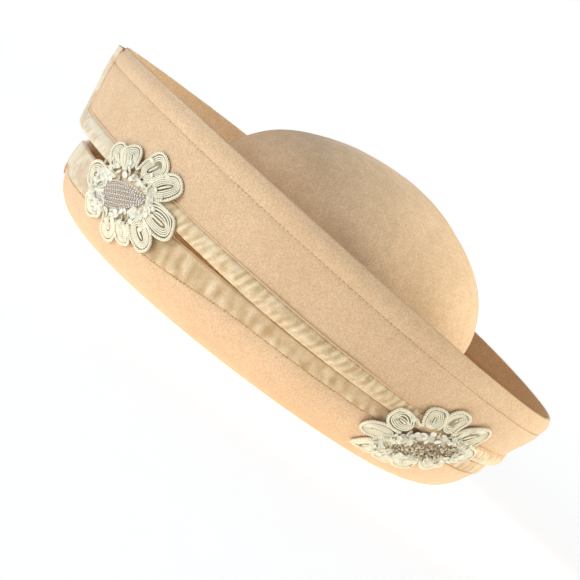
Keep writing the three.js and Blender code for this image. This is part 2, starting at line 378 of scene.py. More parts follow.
def curl(t):
    """The rim leans in over its last millimetres, so that its edge is soft."""
    below = (RIM - t) * SIDE_PER_ROW
    return 1.5 * clamp(1 - below / 8) ** 2


def cuff_profile():
    marks = steps(0, STITCH_LINE - 0.12, 26) + steps(STITCH_LINE - 0.08, STITCH_LINE + 0.08, 6)
    marks += steps(STITCH_LINE + 0.14, RIM, 16)
    outer = [(t, hem_relief(t) - curl(t), 0) for t in marks]
    half = (HEM_THICKNESS - curl(RIM)) / 2
    roll = []
    for k in range(1, 8):
        turn = math.pi * k / 8
        off = half * math.cos(turn) + half - HEM_THICKNESS
        roll.append((RIM, off, 0.85 * half * math.sin(turn)))
    fold = [(t, -HEM_THICKNESS, 0) for t in steps(RIM, HEM_LINE, 5)]
    step = [(HEM_LINE - 0.03, -HEM_THICKNESS + 0.5, 0), (HEM_LINE - 0.05, -FELT, 0)]
    inner = [(t, -FELT, 0) for t in steps(HEM_LINE - 0.12, 0, 18)]
    return outer + roll + fold + step + inner


# Velvet bindings

# How each velvet is gathered: how far apart its folds are and how deep, how far it puffs out, how
# much of the folds is left at its edge, and how far that is let down round the sides.
UPPER_GATHERS = {"spacing": 6.0, "depth": 0.9, "puff": 1.9, "grip": 0.8, "droop": 2.0, "seed": 3}
LOWER_GATHERS = {"spacing": 9.5, "depth": 0.5, "puff": 0.7, "grip": 0.3, "droop": 0, "seed": 17}
# The velvet's distance from the felt, its thickness, how far its inner leaf reaches, and how wide
# its outer leaf is beside the front slash.
LEAF_GAP = 0.15
LEAF_WALL = 0.85
INNER_LEAF = 5
BESIDE_SLASH = 13


class Strip:
    """A strip along the slash: down one side of the front, round the hat and up the other side.
    A station gives the place of its edge and of its seam, as a distance from the front and a t.
    Round the hat the seam lies further from the edge by widen, from shares 0 to 1 of the way."""

    def __init__(self, rows, slash, edge, seam, top, widen):
        self.rows = rows
        self.slash = slash
        self.widen = widen
        self.inward = 1 if seam > edge else -1
        half = self.half_way(edge, seam, top)
        mirrored = [(e, s, -1) for e, s, _ in reversed(half[:-1])]
        self.stations = half + mirrored
        self.lengths = [0.0]
        middles = [self.surface(k, 0.5)[0] for k in range(len(self.stations))]
        for a, b in zip(middles, middles[1:]):
            self.lengths.append(self.lengths[-1] + (b - a).length)

    def half_way(self, edge, seam, top):
        rows, slash = self.rows, self.slash
        per_row = face_frame(rows, (edge + seam) / 2, 0.2)[2]
        edge_turn, seam_turn = 7, 2
        edge_start = edge + self.inward * edge_turn / per_row
        seam_start = seam + self.inward * seam_turn / per_row

        def half(t):
            return slash_half(slash, ring_point(row_at(rows, t), 0).z)

        found = []
        for share in steps(0, 1, 44 if rows is CUFF else 14)[:-1]:
            a, b = lerp(top, edge_start, share), lerp(top, seam_start, share)
            found.append(((half(a), a), (half(b) + BESIDE_SLASH, b), 1))
        edge_x = half(edge) + edge_turn
        seam_x = half(seam) + BESIDE_SLASH + seam_turn
        for turn in steps(0, math.pi / 2, 12)[:-1]:
            c, s = math.cos(turn), math.sin(turn)
            a = edge_start - self.inward * edge_turn / per_row * s
            b = seam_start - self.inward * seam_turn / per_row * s
            found.append(((edge_x - edge_turn * c, a), (seam_x - seam_turn * c, b), 1))
        for share in steps(0, 1, 400):
            out, far = lerp(edge_x, HALF_WAY, share), lerp(seam_x, HALF_WAY, share)
            found.append(((out, edge), (far, seam + self.inward * self.widen(share)), 1))
        return found

    def spot(self, k, share):
        (x0, t0), (x1, t1), side = self.stations[k]
        t = round(lerp(t0, t1, share), 5)
        row = row_at(self.rows, t)
        return t, side * angle_from(row, lerp(x0, x1, share))

    def surface(self, k, share):
        """A point on the felt under the strip and the felt's normal there."""
        t, angle = self.spot(k, share)
        normal = face_frame(self.rows, t, angle)[0]
        return ring_point(row_at(self.rows, t), angle), normal


def folds(length, share, look):
    """How high the velvet's gathers stand, from 0 in a crease to 1 on a fold. They are drawn
    tight round the hat and lie almost flat beside the front slash."""
    seed, spacing = look["seed"], look["spacing"]
    drift = 2.6 * noise.noise(Vector((length / 19, seed, 0)))
    lean = 4.5 * (share - 0.5) * noise.noise(Vector((length / 26, seed + 5, 2)))
    wave = math.sin(2 * math.pi * (length + drift + lean) / spacing)
    rough = noise.noise(Vector((2.1 * length / spacing, 1.7 * share, seed + 9)))
    strength = 0.35 + 1.1 * abs(noise.noise(Vector((length / 17, seed + 3, share))))
    tight = 0.12 + 0.88 * smooth(95, 175, min(length, look["total"] - length))
    return clamp(0.5 + (0.34 * wave * strength + 0.6 * rough) * tight)


def velvet_binding(name, node, strip, wall_at, look):
    """A binding with a puffed outer leaf, rolled over the edge, and a narrow inner leaf."""
    outer_steps, roll_steps = 16, 8
    leaf = LEAF_GAP + LEAF_WALL
    bm = bmesh.new()
    # The fold layer keeps how high the gathers stand; the velvet's material turns it into painted
    # shade in the creases and painted highlight on the folds.
    layer = bm.verts.layers.float.new("fold")
    count = len(strip.stations)
    look = {**look, "total": strip.lengths[-1]}

    def section(k):
        length = strip.lengths[k]
        points = []
        edge, normal = strip.surface(k, 0)
        inside, _ = strip.surface(k, 0.15)
        outwards = (edge - inside).normalized()
        wall = wall_at(strip.spot(k, 0)[0])
        droop = look["droop"] * smooth(210, 290, min(length, look["total"] - length))
        for m in range(outer_steps + 1):
            done = m / outer_steps
            point, up = strip.surface(k, 1 - done)
            fold = folds(length, 1 - done, look)
            puffed = math.sin(math.pi * (0.03 + 0.79 * done)) ** 0.75
            grip = look["grip"] + (1 - look["grip"]) * smooth(0.95, 0.3, done)
            off = leaf + look["puff"] * puffed
            off += look["depth"] * (fold - 0.5) * grip * smooth(0, 0.15, done)
            off -= 0.8 * (1 - smooth(0, 0.08, done))
            points.append((point + up * off, 0.6 + (fold - 0.6) * (0.3 + 0.7 * grip)))
        fold = folds(length, 0, look)
        out = (points[-1][0] - edge).dot(normal)
        back = -wall - leaf
        half = (out - back) / 2
        for m in range(1, roll_steps):
            turn = math.pi * m / roll_steps
            rise = (leaf + droop + 0.25 * (fold - 0.5) * look["grip"]) * math.sin(turn)
            off = (out + back) / 2 + half * math.cos(turn)
            points.append((edge + outwards * rise + normal * off, 0.6 + (fold - 0.6) * 0.4))
        tail = INNER_LEAF / max((strip.surface(k, 1)[0] - edge).length, INNER_LEAF)
        for share, off in ((0, back), (tail * 0.9, back), (tail, back + 0.5)):
            point, up = strip.surface(k, share)
            points.append((point + up * off, 0.6))
        within = -wall - LEAF_GAP
        for share, off in ((tail, within), (0, within), (0, LEAF_GAP), (1, LEAF_GAP)):
            point, up = strip.surface(k, share)
            points.append((point + up * off, 0.6))
        return points

    sections = [section(k) for k in range(count)]
    around = len(sections[0])
    made = bmesh.ops.create_grid(bm, x_segments=count - 1, y_segments=around, size=1)["verts"]
    for v in made:
        k = round((v.co.x + 1) / 2 * (count - 1))
        m = round((v.co.y + 1) / 2 * around) % around
        v.co, v[layer] = sections[k][m]
    sealed(bm)
    return finished(name, bm, node)


# Stitches, cords, sequins and beads


def lay_capsule(bm, middle, along, normal, length, width):
    """One stitch: a small long lump, about half of it sunk into the cloth."""
    third = along.cross(normal).normalized()
    turned = Matrix((along, third, along.cross(third))).transposed().to_4x4()
    size = Matrix.Diagonal((length / 2, width / 2, width / 2, 1))
    place = Matrix.Translation(middle) @ turned @ size
    bmesh.ops.create_icosphere(bm, subdivisions=1, radius=1, matrix=place)


def stitches(name, spots, length, width, slant):
    """A row of stitches, one between each two neighbouring spots (point, normal)."""
    bm = bmesh.new()
    for (a, normal), (b, _) in zip(spots, spots[1:]):
        along = (b - a).normalized()
        across = normal.cross(along)
        along = (along + across * slant * draws.uniform(0.6, 1.3)).normalized()
        lay_capsule(bm, (a + b) / 2, along, normal, length * draws.uniform(0.9, 1.05), width)
    return finished(name, bm)


def spaced(spots, distance):
    """Places at equal distances along a line of spots (point, normal)."""
    found = [spots[0]]
    left = distance
    for (a, _), (b, normal) in zip(spots, spots[1:]):
        length = (b - a).length
        while length >= left:
            a = a + (b - a) * (left / length)
            found.append((a, normal))
            length = (b - a).length
            left = distance
        left -= length
    return found


def sweep_tube(bm, path, radius, sides, closed):
    """A tube along a path of (point, normal), closed to a loop or thinner at its two ends."""
    count = len(path)
    rings = []
    for k, (point, normal) in enumerate(path):
        before = path[(k - 1) % count if closed else max(k - 1, 0)][0]
        after = path[(k + 1) % count if closed else min(k + 1, count - 1)][0]
        across = normal.cross(after - before).normalized()
        up = (after - before).cross(across).normalized()
        rings.append((point, across, up))
    segments = count if closed else count - 1
    ends = () if closed else (0, segments)

    def place(i, j):
        point, across, up = rings[i % count]
        turn = 2 * math.pi * (j % sides) / sides
        thick = radius * (0.35 if i in ends else 1)
        return point + (across * math.cos(turn) + up * math.sin(turn)) * thick

    made = laid_grid(bm, segments, sides, place)
    # Painted light and shade on the cords: each vertex keeps how far up round the tube it lies, so
    # that the cord's material can paint the top light and the sides and underside dark.
    crest_shading = bm.verts.layers.float.get("crest_shading")
    if crest_shading:
        for n, v in enumerate(made):
            v[crest_shading] = 0.5 + 0.5 * math.sin(2 * math.pi * (n // (segments + 1) % sides) / sides)


def twisted(path, radius, pitch, phase):
    """A strand that winds round a closed path."""
    marks = [0.0]
    for a, b in zip(path, path[1:] + path[:1]):
        marks.append(marks[-1] + (b[0] - a[0]).length)
    turns = round(marks[-1] / pitch)
    steps_per_turn = 7
    count = turns * steps_per_turn
    found = []
    k = 0
    for n in range(count):
        at = marks[-1] * n / count
        while marks[k + 1] < at:
            k += 1
        a, b = path[k], path[(k + 1) % len(path)]
        share = (at - marks[k]) / max(marks[k + 1] - marks[k], 1e-6)
        point = a[0].lerp(b[0], share)
        normal = a[1].lerp(b[1], share).normalized()
        across = normal.cross(b[0] - a[0]).normalized()
        turn = 2 * math.pi * (turns * n / count) + phase
        found.append((point + (across * math.cos(turn) + normal * math.sin(turn)) * radius, normal))
    return found


def climb(rows, t, angle, distance):
    """The place reached from t by climbing a distance over the rows, or down if negative."""
    end = len(rows) - 1 if distance > 0 else 0
    left = abs(distance)
    while t != end:
        after = math.floor(t) + 1 if distance > 0 else math.ceil(t) - 1
        here, there = (ring_point(row_at(rows, k), angle) for k in (t, after))
        length = (here - there).length
        if length >= left:
            return t + (after - t) * left / length
        left -= length
        t = after
    return t


# The oval that the beads fill, and how far the net behind them reaches past it.
BEAD_HALF_LENGTH = 23.5
BEAD_HALF_HEIGHT = 7.2
NET_PAST_LENGTH = 4
NET_PAST_HEIGHT = 7.5
PETAL_SEQUINS = 24
# Each loose bead lies this turn further round than the one before, which spreads them evenly.
LOOSE_BEADS = 230
BEAD_TURN = 2.39996

# A petal starts at a share of the way out, and its outer cord goes through a share of a full turn.
PETALS = 10
PETAL_FOOT = 0.42
PETAL_HALF_WIDTH = 7.5
PETAL_OPENING = 0.82
PETAL_STEPS = 24
# Loops of cord inside a petal: how far in from its outer cord, the radius and the height.
PETAL_LOOPS = (
    (1.95, 0.55, 0.4),
    (3.1, 0.55, 0.25),
    (4.25, 0.55, 0.1),
    (5.4, 0.5, 0.0),
)
# The outer cord is two strands: their radius, how far they wind from its middle, and a full turn.
STRAND = {"radius": 0.6, "wind": 0.6, "pitch": 3.3}
VEIN_RADIUS = 0.7


class Motif:
    """A motif of cords, sequins and beads. Its own plane is along its length and up. It sits a
    little above the felt, and further out where the velvet bands are under it."""

    SEAT = 1.2
    OVER_BANDS = 2.7

    def __init__(self, place, hand):
        self.place = place
        self.side = 1 if hand == "left" else -1
        self.name = f"{place}_{hand}"
        self.facts = MOTIFS[place]

    def on_hat(self, along, up, off):
        """A point above the hat and the normal there."""
        turn = math.radians(self.facts["turn"])
        back = along * math.cos(turn) - up * math.sin(turn)
        rise = along * math.sin(turn) + up * math.cos(turn)
        centre = self.side * math.radians(self.facts["angle"])
        row = row_at(BRIDGE, self.facts["row"])
        step = 0.02
        around = ring_point(row, centre + step) - ring_point(row, centre - step)
        angle = centre + self.side * back * 2 * step / around.length
        t = round(climb(BRIDGE, self.facts["row"], angle, rise), 4)
        normal = face_frame(BRIDGE, t, angle)[0]
        seat = self.SEAT + self.OVER_BANDS * smooth(1.5, 2.2, t) * (1 - smooth(4.7, 5.5, t))
        return ring_point(row_at(BRIDGE, t), angle) + normal * (seat + off), normal

    def laid(self, places, off):
        """A path on the hat through places of the motif's plane."""
        return [self.on_hat(place.x, place.y, off) for place in places]


def petal(motif, k, shrink):
    """The places of one petal's cord, from its foot round its tip and back to its foot. The petals
    stand at equal distances round an oval, and lean and vary a little."""
    facts = motif.facts
    around = 2 * math.pi * (k + 0.5) / PETALS
    stretch = (facts["length"] - facts["height"]) / (facts["length"] + facts["height"])
    around += stretch / 2 * math.sin(2 * around)
    wobble = noise.noise(Vector((k * 1.7 + 0.4, motif.side * 2.3, len(motif.place) * 1.1)))
    sway = noise.noise(Vector((k * 2.3 + 0.7, motif.side * 1.9, len(motif.place) * 1.6 + 4)))
    tip = Vector((facts["length"] / 2 * math.cos(around), facts["height"] / 2 * math.sin(around)))
    foot = tip * PETAL_FOOT
    tip *= 1 + 0.12 * wobble
    out = (tip - foot).normalized()
    out = Matrix.Rotation(0.5 * sway, 2) @ out
    across = Vector((-out.y, out.x))
    half_length = (tip - foot).length / 2
    middle = foot + out * half_length
    half_length -= shrink
    half_width = PETAL_HALF_WIDTH + 0.9 * wobble - shrink
    opening = PETAL_OPENING if shrink == 0 else 1
    found = []
    for turn in steps(-math.pi * opening, math.pi * opening, PETAL_STEPS):
        squared = abs(math.sin(turn)) ** 0.75 * math.copysign(1, math.sin(turn))
        bulb = 1 + 0.12 * math.cos(turn)
        along = out * half_length * math.cos(turn)
        found.append(middle + along + across * half_width * squared * bulb)
    return found


def smoothed_loop(points, passes):
    for _ in range(passes):
        count = len(points)
        points = [
            (points[k - 1] + points[k] * 2 + points[(k + 1) % count]) / 4 for k in range(count)
        ]
    return points


def lay_pad(bm, ring, thickness):
    """A thin flat pad inside a ring of (point, normal)."""
    middle = sum((point for point, _ in ring), Vector()) / len(ring)
    facing = sum((normal for _, normal in ring), Vector()).normalized()

    def place(i, j):
        point, normal = ring[i % len(ring)]
        if j in (0, 3):
            return middle + facing * (0 if j == 3 else -thickness)
        return point + normal * (0 if j == 2 else -thickness)

    laid_grid(bm, len(ring), 3, place)


def motif_cords(motif):
    """An outer cord round all the petals and, in each, nested loops, a vein and a ground."""
    bm = bmesh.new()
    bm.verts.layers.float.new("crest_shading")
    outline = []
    for k in range(PETALS):
        outline += petal(motif, k, 0)
    path = motif.laid(smoothed_loop(outline, 2), 0.35)
    for phase in (0, math.pi):
        strand = twisted(path, STRAND["wind"], STRAND["pitch"], phase)
        sweep_tube(bm, strand, STRAND["radius"], 6, True)
    quarter = PETAL_STEPS // 4
    for k in range(PETALS):
        for shrink, radius, off in PETAL_LOOPS:
            loop = petal(motif, k, shrink)[:-1]
            wide_enough = (loop[quarter] - loop[3 * quarter]).length >= 2
            if wide_enough:
                sweep_tube(bm, motif.laid(smoothed_loop(loop, 1), off), radius, 6, True)
        inner = petal(motif, k, PETAL_LOOPS[-1][0])
        vein = [inner[0].lerp(inner[2 * quarter], share) for share in steps(0.15, 0.85, 8)]
        sweep_tube(bm, motif.laid(vein, 0.1), VEIN_RADIUS, 6, False)
        lay_pad(bm, motif.laid(petal(motif, k, 0.9)[:-1], -0.15), 0.3)
    bmesh.ops.remove_doubles(bm, verts=bm.verts, dist=0.0005)
    bmesh.ops.recalc_face_normals(bm, faces=bm.faces)
    return finished(f"{motif.name}_cords", bm, f"{motif.name}_lace")


def motif_net(motif):
    """The net that the cords and beads are sewn to, behind the middle of the motif."""
    middle_along, middle_up = motif.facts["beads"]
    bm = bmesh.new()
    rings, columns = 8, 48

    def place(i, j):
        turn = 2 * math.pi * i / columns
        share = j / rings
        along = middle_along + (BEAD_HALF_LENGTH + NET_PAST_LENGTH) * share * math.cos(turn)
        up = middle_up + (BEAD_HALF_HEIGHT + NET_PAST_HEIGHT) * share * math.sin(turn)
        return motif.on_hat(along, up, -0.5)[0]

    laid_grid(bm, columns, rings, place)
    bmesh.ops.remove_doubles(bm, verts=bm.verts, dist=0.01)
    bmesh.ops.recalc_face_normals(bm, faces=bm.faces)
    bmesh.ops.solidify(bm, geom=bm.faces[:], thickness=0.35)
    return finished(f"{motif.name}_net", bm)


def lay_sequin(bm, point, normal, size):
    """A cupped disc that leans a little."""
    tilt = Vector((draws.uniform(-1, 1), draws.uniform(-1, 1), draws.uniform(-1, 1)))
    facing = (normal + tilt * 0.75).normalized()
    turn = facing.to_track_quat("Z", "Y").to_matrix().to_4x4()
    place = Matrix.Translation(point) @ turn
    ring = bmesh.ops.create_circle(bm, cap_ends=False, segments=10, radius=size, matrix=place)
    edges = list({e for v in ring["verts"] for e in v.link_edges})
    inner = bmesh.ops.extrude_edge_only(bm, edges=edges)["geom"]
    inner = [v for v in inner if isinstance(v, bmesh.types.BMVert)]
    for v in inner:
        v.co = point + (v.co - point) * 0.45 - facing * size * 0.3
    bmesh.ops.contextual_create(bm, geom=inner)


def motif_sequins(motif):
    """Sequins in an uneven ring round the beads, and some on the petals."""
    bm = bmesh.new()
    middle_along, middle_up = motif.facts["beads"]
    count = motif.facts["sequins"]
    for k in range(count):
        turn = 2 * math.pi * (k + draws.uniform(-0.3, 0.3)) / count
        beyond = 1.9 + 2.5 * (k % 3) + draws.uniform(-0.8, 0.8)
        along = middle_along * 0.8 + (BEAD_HALF_LENGTH + beyond) * math.cos(turn)
        up = middle_up * 0.8 + (BEAD_HALF_HEIGHT + beyond) * math.sin(turn)
        point, normal = motif.on_hat(along, up, draws.uniform(0.9, 2.0))
        lay_sequin(bm, point, normal, draws.uniform(1.7, 2.4))
    for k in range(PETAL_SEQUINS):
        turn = 2 * math.pi * (k + draws.uniform(0, 1)) / PETAL_SEQUINS
        share = draws.uniform(0.58, 0.86)
        along = motif.facts["length"] / 2 * share * math.cos(turn)
        up = motif.facts["height"] / 2 * share * math.sin(turn)
        point, normal = motif.on_hat(along, up, draws.uniform(1.1, 1.5))
        lay_sequin(bm, point, normal, draws.uniform(1.3, 1.8))
    bmesh.ops.recalc_face_normals(bm, faces=bm.faces)
    bmesh.ops.solidify(bm, geom=bm.faces[:], thickness=0.12)
    return finished(f"{motif.name}_sequins", bm)


def motif_beads(motif):
    """Front: rows of beads that fan out like the veins of a leaf. Back: beads heaped loosely."""
    middle_along, middle_up = motif.facts["beads"]
    bm = bmesh.new()
    layer = bm.verts.layers.float.new("tone")

    def lay(along, up, off, radius, tone):
        point, _ = motif.on_hat(middle_along + along, middle_up + up, off)
        place = Matrix.Translation(point)
        made = bmesh.ops.create_uvsphere(
            bm, u_segments=7, v_segments=5, radius=radius, matrix=place
        )
        for v in made["verts"]:
            v[layer] = tone

    if motif.place == "front":
        rows = 13
        for r in range(rows):
            spread = 2 * r / (rows - 1) - 1
            bright = r % 2 == 0
            per_row = 21 if bright else 26
            for k in range(per_row):
                share = k / (per_row - 1)
                reach = BEAD_HALF_LENGTH * (1 - 0.3 * spread * spread)
                along = lerp(-BEAD_HALF_LENGTH, reach, share)
                bow = math.sin(math.pi * (0.11 + 0.69 * share))
                up = BEAD_HALF_HEIGHT * spread * bow + draws.uniform(-0.1, 0.1)
                lay(along, up, 0.75 if bright else 0.5, 0.62 if bright else 0.66, float(bright))
    else:
        for k in range(LOOSE_BEADS):
            share = math.sqrt((k + 0.5) / LOOSE_BEADS)
            turn = k * BEAD_TURN
            along = BEAD_HALF_LENGTH * share * math.cos(turn) + draws.uniform(-0.6, 0.6)
            up = BEAD_HALF_HEIGHT * share * math.sin(turn) + draws.uniform(-0.6, 0.6)
            lay(along, up, 0.4 + draws.uniform(0, 0.9), draws.uniform(0.55, 1.0), draws.random())
    return finished(f"{motif.name}_bead_rows", bm, f"{motif.name}_beads")


# Materials


class Nodes:
    """A material's or group's nodes, added one by one and linked by socket names."""

    def __init__(self, tree):
        self.tree = tree

    def add(self, kind, **settings):
        node = self.tree.nodes.new(kind)
        for key, value in settings.items():
            setattr(node, key, value)
        return node

    def link(self, source, target):
        self.tree.links.new(source, target)

    def give(self, target, value):
        """Sets an input to a plain number or colour, or links a socket to it."""
        if isinstance(value, (int, float)):
            target.default_value = value
        elif isinstance(value, tuple):
            target.default_value = (*value, 1)
        else:
            self.link(value, target)

    def noise(self, coordinates, scale, detail, roughness=0.5):
        node = self.add("ShaderNodeTexNoise")
        self.give(node.inputs["Scale"], scale)
        node.inputs["Detail"].default_value = detail
        node.inputs["Roughness"].default_value = roughness
        self.link(coordinates, node.inputs["Vector"])
        return node.outputs["Fac"]

    def ramp(self, factor, stops):
        node = self.add("ShaderNodeValToRGB")
        points = node.color_ramp.elements
        while len(points) < len(stops):
            points.new(0.5)
        for point, (position, colour) in zip(points, stops):
            point.position = position
            point.color = (*colour, 1)
        self.link(factor, node.inputs["Fac"])
        return node.outputs["Color"]

    def mix(self, factor, a, b, blend="MIX"):
        node = self.add("ShaderNodeMix", data_type="RGBA", blend_type=blend)
        for number, value in ((0, factor), (6, a), (7, b)):
            self.give(node.inputs[number], value)
        return node.outputs[2]

    def bump(self, height, strength, distance):
        node = self.add("ShaderNodeBump")
        self.give(node.inputs["Strength"], strength)
        node.inputs["Distance"].default_value = distance
        self.link(height, node.inputs["Height"])
        return node.outputs["Normal"]

    def attribute(self, name):
        """A value that the piece's own mesh carries, from 0 to 1."""
        return self.add("ShaderNodeAttribute", attribute_name=name).outputs["Fac"]

    def object_place(self):
        return self.add("ShaderNodeTexCoord").outputs["Object"]


def socket(group, name, direction, kind, value=None):
    made = group.interface.new_socket(name=name, in_out=direction, socket_type=kind)
    if value is not None:
        made.default_value = value


def nap_group():
    """Fibres on cloth: blotches, mottled grain and a short nap, as a colour and a normal."""
    group = bpy.data.node_groups.new("nap", "ShaderNodeTree")
    socket(group, "Blotch size", "INPUT", "NodeSocketFloat", 18)
    socket(group, "Grain size", "INPUT", "NodeSocketFloat", 950)
    socket(group, "Grain", "INPUT", "NodeSocketFloat", 0.5)
    socket(group, "Relief", "INPUT", "NodeSocketFloat", 0.3)
    socket(group, "Light", "INPUT", "NodeSocketColor", (1, 1, 1, 1))
    socket(group, "Dark", "INPUT", "NodeSocketColor", (0, 0, 0, 1))
    socket(group, "Colour", "OUTPUT", "NodeSocketColor")
    socket(group, "Normal", "OUTPUT", "NodeSocketVector")
    n = Nodes(group)
    given = n.add("NodeGroupInput").outputs
    result = n.add("NodeGroupOutput").inputs
    place = n.object_place()
    blotch = n.noise(place, given["Blotch size"], 4, 0.6)
    grain = n.noise(place, given["Grain size"], 3, 0.65)
    cloud = n.noise(place, 150, 3, 0.6)
    uneven = n.ramp(n.mix(0.45, blotch, cloud), [(0.38, (0, 0, 0)), (0.64, (1, 1, 1))])
    base = n.mix(uneven, given["Dark"], given["Light"])
    specks = n.ramp(grain, [(0.37, (0.55, 0.52, 0.48)), (0.63, (1.34, 1.35, 1.36))])
    n.link(n.mix(given["Grain"], base, specks, "MULTIPLY"), result["Colour"])
    n.link(n.bump(n.mix(0.3, grain, cloud), given["Relief"], 0.0007), result["Normal"])
    return group


def surface(name, roughness, **constants):
    """A material with its Principled BSDF, whose plain values are set on its own sockets."""
    material = bpy.data.materials.new(name)
    material.use_nodes = True
    nodes = Nodes(material.node_tree)
    shader = material.node_tree.nodes["Principled BSDF"]
    shader.inputs["Roughness"].default_value = roughness
    for key, value in constants.items():
        shader.inputs[key.replace("_", " ")].default_value = value
    return material, nodes, shader.inputs


def place_nap(nodes, group, light, dark, **values):
    node = nodes.add("ShaderNodeGroup", node_tree=group)
    for key, value in values.items():
        node.inputs[key.replace("_", " ")].default_value = value
    node.inputs["Light"].default_value = (*light, 1)
    node.inputs["Dark"].default_value = (*dark, 1)
    return node.outputs


def felt_material(name, group, light, dark, blotch):
    material, nodes, inputs = surface(
        name, 0.95, Sheen_Weight=0.2, Sheen_Roughness=0.5, Specular_IOR_Level=0.15
    )
    inputs["Sheen Tint"].default_value = (1.0, 0.94, 0.87, 1)
    nap = place_nap(nodes, group, light, dark, Blotch_size=blotch, Grain=0.3, Relief=0.42)
    nodes.link(nap["Colour"], inputs["Base Color"])
    nodes.link(nap["Normal"], inputs["Normal"])
    return material


def velvet_material(name, group, light, dark):
    material, nodes, inputs = surface(
        name, 0.6, Sheen_Weight=0.45, Sheen_Roughness=0.35, Specular_IOR_Level=0.3
    )
    inputs["Sheen Tint"].default_value = (1.0, 0.94, 0.8, 1)
    nap = place_nap(
        nodes, group, light, dark, Blotch_size=55, Grain_size=900, Grain=0.2, Relief=0.3
    )
    # Painted shade and highlight: the velvet is darkened in the creases of its gathers and made
    # lighter and whiter on their folds.
    fold = nodes.attribute("fold")
    fold_light_and_shade = nodes.ramp(fold, [(0.2, (0.78, 0.68, 0.56)), (0.85, (1.06, 1.08, 1.12))])
    tinted = nodes.mix(1.0, nap["Colour"], fold_light_and_shade, "MULTIPLY")
    place = nodes.object_place()
    parts = nodes.add("ShaderNodeSeparateXYZ")
    nodes.link(place, parts.inputs["Vector"])
    # Towards the front of the hat the velvet's colour changes to paler, less yellow blotches.
    front = nodes.add("ShaderNodeMapRange")
    front.inputs["From Min"].default_value = -0.105
    front.inputs["From Max"].default_value = -0.165
    nodes.link(parts.outputs["Y"], front.inputs["Value"])
    front_blotch_colours = [(0.42, (0.76, 0.62, 0.42)), (0.56, (0.92, 0.85, 0.68))]
    pale = nodes.ramp(nodes.noise(place, 75, 4, 0.6), front_blotch_colours)
    pale = nodes.mix(1.0, pale, fold_light_and_shade, "MULTIPLY")
    nodes.link(nodes.mix(front.outputs["Result"], tinted, pale), inputs["Base Color"])
    nodes.link(nap["Normal"], inputs["Normal"])
    return material


def cord_material(name, light, dark, roughness, crest_shaded=False):
    material, nodes, inputs = surface(
        name, roughness, Sheen_Weight=0.2, Sheen_Roughness=0.4, Specular_IOR_Level=0.45
    )
    place = nodes.object_place()
    tone = nodes.noise(place, 240, 3)
    # For cords with painted shade, the top of each cord is painted lighter and its sides and
    # underside darker, down to a painted shadow colour.
    if crest_shaded:
        crest_shading = nodes.attribute("crest_shading")
        tone = nodes.mix(0.72, tone, crest_shading)
    stops = [(0.35, dark), (0.62, light)]
    if crest_shaded:
        shadow = tuple(0.62 * value for value in dark)
        stops = [(0.16, shadow), (0.38, dark), (0.74, light)]
    nodes.link(nodes.ramp(tone, stops), inputs["Base Color"])
    nodes.link(nodes.bump(nodes.noise(place, 2600, 2), 0.3, 0.0003), inputs["Normal"])
    return material


def sequin_material():
    material, nodes, inputs = surface(
        "pearl_sequin", 0.28, Coat_Weight=0.35, Coat_Roughness=0.12, Specular_IOR_Level=0.5
    )
    place = nodes.object_place()
    hue = nodes.noise(place, 330, 1)
    tints = [
        (0.3, (0.93, 0.86, 0.66)),
        (0.45, (0.98, 0.94, 0.82)),
        (0.6, (0.94, 0.92, 0.68)),
        (0.72, (0.99, 0.87, 0.78)),
    ]
    nodes.link(nodes.ramp(hue, tints), inputs["Base Color"])
    return material


def bead_material(name, light, dark):
    material, nodes, inputs = surface(
        name, 0.16, Metallic=0.3, Coat_Weight=0.8, Coat_Roughness=0.06
    )
    place = nodes.object_place()
    tone = nodes.attribute("tone")
    hue = nodes.mix(0.3, tone, nodes.noise(place, 520, 1))
    nodes.link(nodes.ramp(hue, [(0.2, dark), (0.8, light)]), inputs["Base Color"])
    return material


def net_material():
    material, nodes, inputs = surface("gold_net", 0.5, Sheen_Weight=0.2)
    place = nodes.object_place()
    threads = nodes.noise(place, 1500, 2)
    tones = [(0.4, (0.55, 0.42, 0.27)), (0.6, (0.8, 0.64, 0.43))]
    nodes.link(nodes.ramp(threads, tones), inputs["Base Color"])
    nodes.link(nodes.bump(threads, 0.4, 0.0004), inputs["Normal"])
    return material


# The camera and the studio

CAMERA_AWAY = 1.25
CAMERA_AZIMUTH = math.radians(88.5)
CAMERA_RISE = math.radians(5.6)
CAMERA_ROLL = math.radians(37.4)
CAMERA_AIM = Vector((0, -0.00197, 0.04935))


def camera():
    data = bpy.data.cameras.new("camera")
    data.lens = 117.5
    data.sensor_width = 36
    data.clip_start, data.clip_end = 0.05, 60
    eye = placed("camera", data)
    x = math.cos(CAMERA_RISE) * math.sin(CAMERA_AZIMUTH)
    y = -math.cos(CAMERA_RISE) * math.cos(CAMERA_AZIMUTH)
    from_aim = Vector((x, y, math.sin(CAMERA_RISE)))
    upright_view = from_aim.to_track_quat("Z", "Y").to_matrix().to_4x4()
    roll = Matrix.Rotation(CAMERA_ROLL, 4, "Z")
    eye.matrix_world = Matrix.Translation(CAMERA_AIM + from_aim * CAMERA_AWAY) @ upright_view @ roll
    bpy.context.scene.camera = eye


def light(name, kind, place, watts, aim=(0, 0, 0.06), **shape):
    data = bpy.data.lights.new(name, kind)
    data.energy = watts
    for key, value in shape.items():
        setattr(data, key, value)
    lamp = placed(name, data)
    facing = (Vector(place) - Vector(aim)).to_track_quat("Z", "Y").to_matrix().to_4x4()
    lamp.matrix_world = Matrix.Translation(place) @ facing


